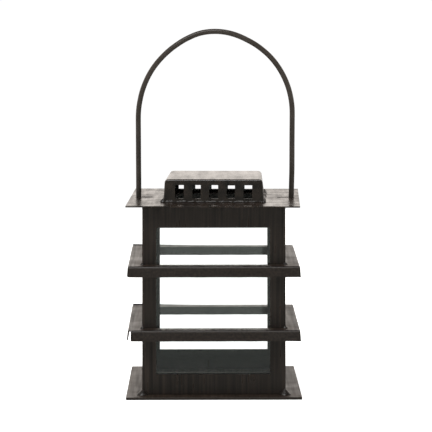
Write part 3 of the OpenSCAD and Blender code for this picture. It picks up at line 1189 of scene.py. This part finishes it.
@dataclass
class Welds:
    """The beads between the body's corners and the plate and tiers."""

    body_width: float = 95.8
    # How much the beads of a row differ in size
    spread: float = 0.12
    rows: Sequence[BeadRow] = (
        BeadRow("base_welds", "base_plate", 3.9, 3.6, 0.72, 1.3, 0.7, 4.0),
        BeadRow("lower_tier_welds", "lower_tier", 1.6, 1.5, 0.3, 0.9, 0.6, 11.0),
        BeadRow("upper_tier_welds", "upper_tier", 1.6, 1.3, 0.2, 0.9, 0.5, 17.0),
    )

    def corners(self, height: float) -> bpy.types.Mesh:
        """Returns a mesh of one point at each outside corner of the body, at a height in metres."""
        half = self.body_width / 2 * MM
        mesh = bpy.data.meshes.new("corners")
        mesh.from_pydata([(sx * half, sy * half, height) for sx in (-1, 1) for sy in (-1, 1)], [], [])
        return mesh

    def build(self, finishes: Finishes) -> None:
        """Makes the lumpy beads at the body's foot and the tacks above each tier."""
        tree = bead_tree()
        for row in self.rows:
            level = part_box(row.seat)[1].z
            mesh = grow(
                row.node,
                self.corners(level),
                tree,
                finishes.weld,
                {
                    "Radius": row.radius * MM,
                    "Height": row.height * MM,
                    "Pinch": row.pinch,
                    "Spread": self.spread,
                    "Lump Size": row.lump_size * MM,
                    "Lump Depth": row.lump_depth * MM,
                    "Trim Size": (self.body_width * MM, self.body_width * MM, 20 * MM),
                    "Trim Place": (0.0, 0.0, level),
                    "Floor": level,
                    "Seed": row.seed,
                },
            )
            add_piece(f"{row.node}_beads", mesh, finishes.weld, Body.LANTERN, [row.node])


@dataclass
class Handle:
    """The bail handle, one bent wire with a hook at each end."""

    wire: float = 3.6
    span: float = 105.0
    crown_radius: float = 44.4
    # Direction of the line on which the crown and side arcs meet
    meeting: Point = (44 / 125, 117 / 125)
    hook_height: float = 125.1
    hook_bend: float = 3.0
    hook_end: float = 40.5
    # Straight wire between the hook's end point and its bend
    hook_straight: float = 3.0
    turn_deg: float = 1.8
    # Distance between the swept rings, and number of points on the hook's bend, the leg, the side arc and the crown
    step: float = 1.6
    hook_points: int = 8
    leg_points: int = 30
    side_points: int = 40
    crown_points: int = 12
    # How far the hand-bent wire stands to the right of its even shape, by height, on each side
    left_set: Sequence[Point] = (
        *((186, 0.0), (197, 0.55), (208, 0.85), (219, 1.1)),
        *((228, 1.5), (236, 1.65), (241, 1.2), (244.6, 0.0)),
    )
    right_set: Sequence[Point] = (
        *((118, 0.0), (130, 0.2), (150, 0.6), (190, 0.75)),
        *((208, 0.85), (228, 0.85), (235, 0.5), (239, 0.0), (244.6, 0.0)),
    )

    def sideways(self, x: float, z: float) -> float:
        """Returns a point's place across after the hand bending, in millimetres."""
        table = self.right_set if x > 0 else self.left_set
        for (low, first), (high, last) in zip(table, table[1:]):
            if low <= z <= high:
                return x + first + (last - first) * (z - low) / (high - low)
        return x

    def half_path(self, top: float) -> list[Point]:
        """Works out the middle line of the handle's +X half.

        Args:
            top: Height of the wire's middle at the crown, in millimetres.

        Returns:
            Points across and up, from the hook's end to the crown.
        """
        leg = self.span / 2
        apart = (leg - self.crown_radius) / (1 - self.meeting[0])
        side_radius = self.crown_radius + apart
        spring = top - self.crown_radius - apart * self.meeting[1]
        hook_top = self.hook_height + self.hook_bend
        points = [(self.hook_end, self.hook_height), (leg - self.hook_bend - self.hook_straight, self.hook_height)]
        for i in range(self.hook_points + 1):
            a = -math.pi / 2 + math.pi / 2 * i / self.hook_points
            points.append((leg - self.hook_bend * (1 - math.cos(a)), hook_top + self.hook_bend * math.sin(a)))
        rise = (spring - hook_top) / self.leg_points
        points += [(leg, hook_top + rise * i) for i in range(1, self.leg_points)]
        meet = math.atan2(self.meeting[1], self.meeting[0])
        for i in range(self.side_points):
            a = meet * i / self.side_points
            points.append((leg - side_radius + side_radius * math.cos(a), spring + side_radius * math.sin(a)))
        for i in range(self.crown_points + 1):
            a = meet + (math.pi / 2 - meet) * i / self.crown_points
            points.append((self.crown_radius * math.cos(a), top - self.crown_radius * (1 - math.sin(a))))
        return points

    def build(self, finishes: Finishes, sweep: bpy.types.NodeTree) -> None:
        """Sweeps the wire along its path."""
        low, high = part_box("handle")
        middle = (low + high) / 2
        half = self.half_path(high.z / MM - self.wire / 2)
        place = Matrix.Translation((middle.x, middle.y, 0)) @ Matrix.Rotation(-math.radians(self.turn_deg), 4, "Z")
        across = [(x, z) for x, z in half] + [(-x, z) for x, z in reversed(half[:-1])]
        points = [place @ (Vector((self.sideways(x, z), 0, z)) * MM) for x, z in across]
        mesh = grow(
            "handle",
            path_mesh(points, False),
            sweep,
            finishes.wire,
            {
                "Radius": self.wire / 2 * MM,
                "Step": self.step * MM,
                "Wander": 0.35 * MM,
                "Swell": 0.012,
                "Grain": 55 * MM,
                "Sides": 28,
                "Seed": 6.0,
            },
        )
        mesh.set_sharp_from_angle(angle=math.radians(40))
        add_piece("bail_handle_wire", mesh, finishes.wire, Body.LANTERN, ["handle"])


@dataclass
class Lid:
    """The loose lid plate, the vent cap brazed on it, and the braze metal between them."""

    turn_deg: float = 1.8
    cap_foot: Point = (68.0, 66.0)
    cap_top: Point = (63.8, 63.0)
    cap_height: float = 15.4
    cap_sheet: float = 0.9
    # How far the front of the cap's top stands out at each side, as it does when a box is folded by hand
    front_spread: float = 1.1
    # Radius of the folds down the cap's upright corners
    corner_bend: float = 1.0
    corner_steps: int = 3
    # Bend radii at the left and right, and at the front and back, of the cap's top
    cap_bends: Point = (2.2, 1.2)
    bend_steps: int = 9
    vent_count: int = 5
    vent: Point = (5.9, 9.1)
    # The punch is a little larger than a vent, because its unevenness only makes it smaller
    punch_ease: Point = (1.02, 1.01)
    punch_reach: float = 8.0
    vent_pitch: float = 11.55
    vent_sill: float = 2.4
    seam_radius: float = 1.0
    # How far the seam's middle line lies outside the cap's foot and above the plate
    seam_out: float = 0.1
    seam_up: float = 0.25
    seam_steps: int = 24
    # Bead radius at each cap corner: front left, back left, back right, front right
    bead_radii: Sequence[float] = (2.3, 1.4, 1.9, 1.5)
    line_pitch: float = 6.0
    # Unevenness of the plate: its depth, the size of its waves, and the share that lifts the whole plate
    warp: float = 0.09
    warp_size: float = 26.0
    warp_lift: float = 0.35
    edge: float = 0.12

    def place(self) -> Matrix:
        """Returns the lid's turned place, with the plate's top at height 0."""
        low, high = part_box("lid_plate")
        middle = (low + high) / 2
        move = Matrix.Translation((middle.x, middle.y, high.z))
        return move @ Matrix.Rotation(-math.radians(self.turn_deg), 4, "Z")

    def plate(self) -> bpy.types.Mesh:
        """Makes the lid plate, a little uneven but never below its flat underside.

        Returns:
            The plate's mesh.
        """
        bm = merged_cad("lid_plate")
        rule_lines(bm, self.line_pitch, (0, 1))
        for vert in bm.verts:
            spot = Vector((vert.co.x, vert.co.y, 0))
            vert.co.z += self.warp * MM * (self.warp_lift + 0.5 * wave(spot, self.warp_size, 8.0))
        return soften(mesh_from(bm, "plate"), self.edge)

    def levels(self) -> list[Point3]:
        """Works out the rings that the cap's sides pass through.

        Returns:
            Height of each ring, and how far the left and right, and the front and back, are bent in there.
        """
        heights = {0.0}
        for radius in self.cap_bends:
            for step in range(self.bend_steps + 1):
                rise = math.sin(math.pi / 2 * step / self.bend_steps)
                heights.add(round(self.cap_height - radius * (1 - rise), 3))
        rings = []
        for height in sorted(heights):
            bent = []
            for radius in self.cap_bends:
                above = max(0.0, height - (self.cap_height - radius))
                bent.append(radius - math.sqrt(max(0.0, radius**2 - above**2)))
            rings.append((height, bent[0], bent[1]))
        return rings

    def ring(
        self, bm: bmesh.types.BMesh, half_w: float, half_d: float, height: float, spread_by: float
    ) -> list[bmesh.types.BMVert]:
        """Adds the points of one ring round the cap, whose upright corners are a little rounded.

        Args:
            bm: Mesh that gets the points.
            half_w: Half the ring's width, in millimetres.
            half_d: Half the ring's depth.
            height: Height of the ring.
            spread_by: How far the front corners stand out sideways from the back ones.

        Returns:
            The points in order.
        """
        radius = self.corner_bend
        points = []
        for quarter, (sx, sy) in enumerate(((1, 1), (-1, 1), (-1, -1), (1, -1))):
            for step in range(self.corner_steps + 1):
                a = math.pi / 2 * (quarter + step / self.corner_steps)
                out = spread_by if sy < 0 else 0.0
                x = sx * (half_w - radius + out) + radius * math.cos(a)
                y = sy * (half_d - radius) + radius * math.sin(a)
                points.append(bm.verts.new(Vector((x, y, height)) * MM))
        return points

    def shell(self) -> bpy.types.Mesh:
        """Makes the cap's folded box with its bent top edges, before the vents are punched.

        Returns:
            A closed shell about the origin, with its foot at height 0.
        """
        bm = bmesh.new()
        (foot_w, foot_d), (top_w, top_d) = self.cap_foot, self.cap_top
        rings = []
        for height, side_in, front_in in self.levels():
            share = height / self.cap_height
            half_w = (foot_w + (top_w - foot_w) * share) / 2 - side_in
            half_d = (foot_d + (top_d - foot_d) * share) / 2 - front_in
            rings.append(self.ring(bm, half_w, half_d, height, share * self.front_spread))
        for low, high in zip(rings, rings[1:]):
            for i, corner in enumerate(low):
                j = (i + 1) % len(low)
                bm.faces.new([corner, low[j], high[j], high[i]])
        bm.faces.new(rings[-1])
        return thicken(bm, "cap", self.cap_sheet)

    def cap(self, finishes: Finishes) -> bpy.types.Mesh:
        """Punches the cap's vents and softens its edges.

        Args:
            finishes: The lantern's materials.

        Returns:
            The cap's mesh in its place on the lid.
        """
        mesh = grow(
            "cap",
            self.shell(),
            vent_tree(),
            finishes.cap,
            {
                "Count": self.vent_count,
                "Width": self.vent[0] * self.punch_ease[0] * MM,
                "Height": self.vent[1] * self.punch_ease[1] * MM,
                "Reach": self.punch_reach * MM,
                "Pitch": self.vent_pitch * MM,
                "Middle Height": (self.vent_sill + self.vent[1] / 2) * MM,
                "Front": self.cap_foot[1] / 2 * MM,
                "Unevenness": 0.07,
                "Seed": 4,
            },
        )
        bm = bmesh.new()
        bm.from_mesh(mesh)
        bmesh.ops.dissolve_limit(bm, angle_limit=math.radians(0.3), verts=bm.verts[:], edges=bm.edges[:])
        mesh = soften(mesh_from(bm, "cap"), self.edge, 50.0)
        mesh.transform(self.place())
        return mesh

    def seam_path(self) -> list[Vector]:
        """Returns the points round the cap's foot, in the lid's place."""
        half_w, half_d = (width / 2 + self.seam_out for width in self.cap_foot)
        corners = [(-half_w, -half_d), (half_w, -half_d), (half_w, half_d), (-half_w, half_d)]
        points = []
        for (ax, ay), (bx, by) in zip(corners, corners[1:] + corners[:1]):
            for i in range(self.seam_steps):
                share = i / self.seam_steps
                spot = Vector((ax + (bx - ax) * share, ay + (by - ay) * share, self.seam_up)) * MM
                points.append(self.place() @ spot)
        return points

    def beads(self, finishes: Finishes) -> bpy.types.Mesh:
        """Makes the braze lumps at the cap's corners.

        Args:
            finishes: The lantern's materials.

        Returns:
            One mesh of the four lumps, each a little flattened.
        """
        tree = bead_tree()
        corners = ((-1, -1), (-1, 1), (1, 1), (1, -1))
        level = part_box("lid_plate")[1].z
        joined = bmesh.new()
        for (sx, sy), radius in zip(corners, self.bead_radii):
            spot = self.place() @ (Vector((sx * self.cap_foot[0] / 2, sy * self.cap_foot[1] / 2, 0.2)) * MM)
            start = bpy.data.meshes.new("corner")
            start.from_pydata([tuple(spot)], [], [])
            bead = grow(
                "bead",
                start,
                tree,
                finishes.weld,
                {
                    "Radius": radius * MM,
                    "Height": radius * 1.05 * MM,
                    "Pinch": 0.3,
                    "Spread": 0.05,
                    "Lump Size": 1.1 * MM,
                    "Lump Depth": 0.9 * MM,
                    # The block that trims the body's own beads is kept clear of these
                    "Trim Size": (0.001, 0.001, 0.001),
                    "Trim Place": (0.0, 0.0, 0.0),
                    "Floor": level,
                    "Seed": 21.0 + radius,
                },
            )
            joined.from_mesh(bead)
        return mesh_from(joined, "beads")

    def build(self, finishes: Finishes, sweep: bpy.types.NodeTree) -> None:
        """Makes the plate, the cap, the seam round its foot and the lumps at its corners."""
        add_piece("lid_plate_sheet", self.plate(), finishes.lid_plate, Body.LID, ["lid_plate"])
        add_piece("vent_cap_folded_box", self.cap(finishes), finishes.cap, Body.LID, ["vent_cap"])
        seam = grow(
            "seam",
            path_mesh(self.seam_path(), True),
            sweep,
            finishes.weld,
            {
                "Radius": self.seam_radius * MM,
                "Step": 0.5 * MM,
                "Wander": 1.6 * MM,
                "Swell": 0.5,
                "Grain": 4.5 * MM,
                "Sides": 12,
                "Seed": 12.0,
            },
        )
        add_piece("vent_cap_brazed_seam", seam, finishes.weld, Body.LID)
        add_piece("cap_corner_beads", self.beads(finishes), finishes.weld, Body.LID, ["cap_welds"])


# ---- Studio ----


@dataclass
class Studio:
    """The pale floor, the soft light and the camera."""

    floor_half: float = 1.1
    # The paper's two tones, and the size of its patches
    floor_tones: Sequence[str] = ("#fbfbfa", "#f8f8f7")
    floor_patch_mm: float = 60.0
    # Light that the thin paper lets through from below, which keeps shadows faint
    floor_glow: float = 0.72
    # Brightness of the surround as surfaces reflect it: behind the object, in front of it, overhead and low down
    behind: float = 1.3
    in_front: float = 0.35
    overhead: float = 0.12
    below: float = 0.2
    # Least brightness of the room in reflections that pass through glass
    veil: float = 0.65
    # Brightness of the white backdrop itself, and what is added to it behind the panes to make up for their loss
    backdrop: float = 1.03
    glass_loss: float = 0.35
    # The light behind comes off warm white paper, and the light in front from a pale green-grey room
    warm: str = "#fff7ef"
    cool: str = "#eef6f0"
    # A long lens from a little above the lantern, with its turn about each axis
    lens: float = 188.26
    camera_place: Point3 = (-0.0108, -1.5495, 0.2946)
    camera_turn_deg: Point3 = (83.48, 0.05, -0.474)

    def floor(self) -> None:
        """Lays the floor, a matt pale paper with a very faint tone."""
        material, tree, coords = shader_tree("matt_pale_paper")
        tone = spread(tree, grain(tree, coords, [self.floor_patch_mm] * 3), 0, 1)
        shade(
            tree,
            {
                "Base Color": blend_colour(tree, tone, *(linear(code) for code in self.floor_tones)),
                "Roughness": 0.9,
                "Specular IOR Level": 0.1,
                "Emission Color": linear("#ffffff"),
                "Emission Strength": self.floor_glow,
            },
        )
        half = self.floor_half
        mesh = bpy.data.meshes.new("floor")
        mesh.from_pydata([(-half, -half, 0), (half, -half, 0), (half, half, 0), (-half, half, 0)], [], [(0, 1, 2, 3)])
        mesh.materials.append(material)
        floor = bpy.data.objects.new("studio_floor", mesh)
        # Reflections see the surround instead, also the ones that pass through the glass on their way
        floor.visible_glossy = False
        floor.visible_transmission = False
        bpy.context.scene.collection.objects.link(floor)

    def surround(self) -> None:
        """Sets the surround: white to look at, and in reflections a white band above the horizon, brightest behind."""
        world = bpy.data.worlds.new("studio_surround")
        bpy.context.scene.world = world
        world.use_nodes = True
        tree = world.node_tree
        tree.nodes.clear()
        toward = axes_of(tree, add_node(tree, "ShaderNodeTexCoord").outputs["Generated"])
        band = spread(tree, toward["Y"], self.in_front, self.behind, -0.5, 0.4, "SMOOTHSTEP")
        upper = spread(tree, toward["Z"], band, self.overhead, 0.3, 0.7, "SMOOTHSTEP")
        light = spread(tree, toward["Z"], self.below, upper, -0.12, 0.02, "SMOOTHSTEP")
        # The backdrop is white to look at, also straight through the glass, but not in reflections
        seen = add_node(tree, "ShaderNodeLightPath").outputs
        bounces = calc(tree, "ADD", seen["Glossy Depth"], seen["Diffuse Depth"])
        through = calc(tree, "MULTIPLY", seen["Is Transmission Ray"], calc(tree, "LESS_THAN", bounces, 0.5))
        direct = calc(tree, "MAXIMUM", seen["Is Camera Ray"], through)
        # What the panes reflect of the room lays a faint veil over the pieces behind them
        veil = calc(tree, "MULTIPLY", seen["Is Transmission Ray"], self.veil)
        reflected = calc(tree, "MAXIMUM", light, veil)
        shown = calc(tree, "MULTIPLY_ADD", through, self.glass_loss, self.backdrop)
        inputs = {MIX_FACTOR: direct, MIX_VALUES[0]: reflected, MIX_VALUES[1]: shown}
        strength = add_node(tree, "ShaderNodeMix", {"data_type": "FLOAT"}, inputs).outputs[0]
        behind = spread(tree, toward["Y"], 0.0, 1.0, -0.6, 0.2, "SMOOTHSTEP")
        tone = blend_colour(tree, behind, linear(self.cool), linear(self.warm))
        tone = blend_colour(tree, direct, tone, linear("#ffffff"))
        glow = add_node(tree, "ShaderNodeBackground", inputs={"Color": tone, "Strength": strength})
        add_node(tree, "ShaderNodeOutputWorld", inputs={"Surface": glow.outputs[0]})

    def lamp(self, name: str, place: Point3, target: Point3, size: Point, power: float, mirrored: bool) -> None:
        """Hangs one soft box.

        Args:
            name: Lamp's name.
            place: Where it hangs.
            target: What it faces.
            size: Its width and height.
            power: Its power in watts.
            mirrored: Whether it shows in reflections.
        """
        data = bpy.data.lights.new(name, "AREA")
        data.shape = "RECTANGLE"
        data.size, data.size_y = size
        data.energy = power
        lamp = bpy.data.objects.new(name, data)
        lamp.location = place
        lamp.rotation_euler = (Vector(target) - Vector(place)).to_track_quat("-Z", "Y").to_euler()
        lamp.visible_camera = False
        lamp.visible_glossy = mirrored
        bpy.context.scene.collection.objects.link(lamp)

    def camera(self) -> None:
        """Sets the camera."""
        data = bpy.data.cameras.new("camera")
        data.sensor_width = 36.0
        data.lens = self.lens
        camera = bpy.data.objects.new("camera", data)
        camera.location = self.camera_place
        camera.rotation_euler = Euler([math.radians(turn) for turn in self.camera_turn_deg], "XYZ")
        bpy.context.scene.collection.objects.link(camera)
        bpy.context.scene.camera = camera

    def build(self) -> None:
        """Builds the studio, with colours shown as they are."""
        bpy.context.scene.view_settings.view_transform = "Standard"
        self.floor()
        self.surround()
        self.lamp("soft_box_above", (0.0, 0.25, 2.2), (0, 0.1, 0), (2.4, 2.4), 36.0, False)
        self.lamp("soft_box_above_front", (-0.35, -0.8, 1.3), (0, 0, 0.1), (0.9, 0.6), 14.0, True)
        self.camera()


def main() -> None:
    """Builds the lantern from its base up, then the studio."""
    logging.basicConfig(level=logging.INFO, format="%(name)s: %(message)s")
    finishes = Finishes()
    sweep = sweep_tree()
    BasePlate().build(finishes)
    Walls().build(finishes)
    Glazing().build(finishes)
    for tier in (LOWER_TIER, UPPER_TIER):
        tier.build(finishes)
    Welds().build(finishes)
    Handle().build(finishes, sweep)
    Lid().build(finishes, sweep)
    Studio().build()


if __name__ == "__main__":
    main()
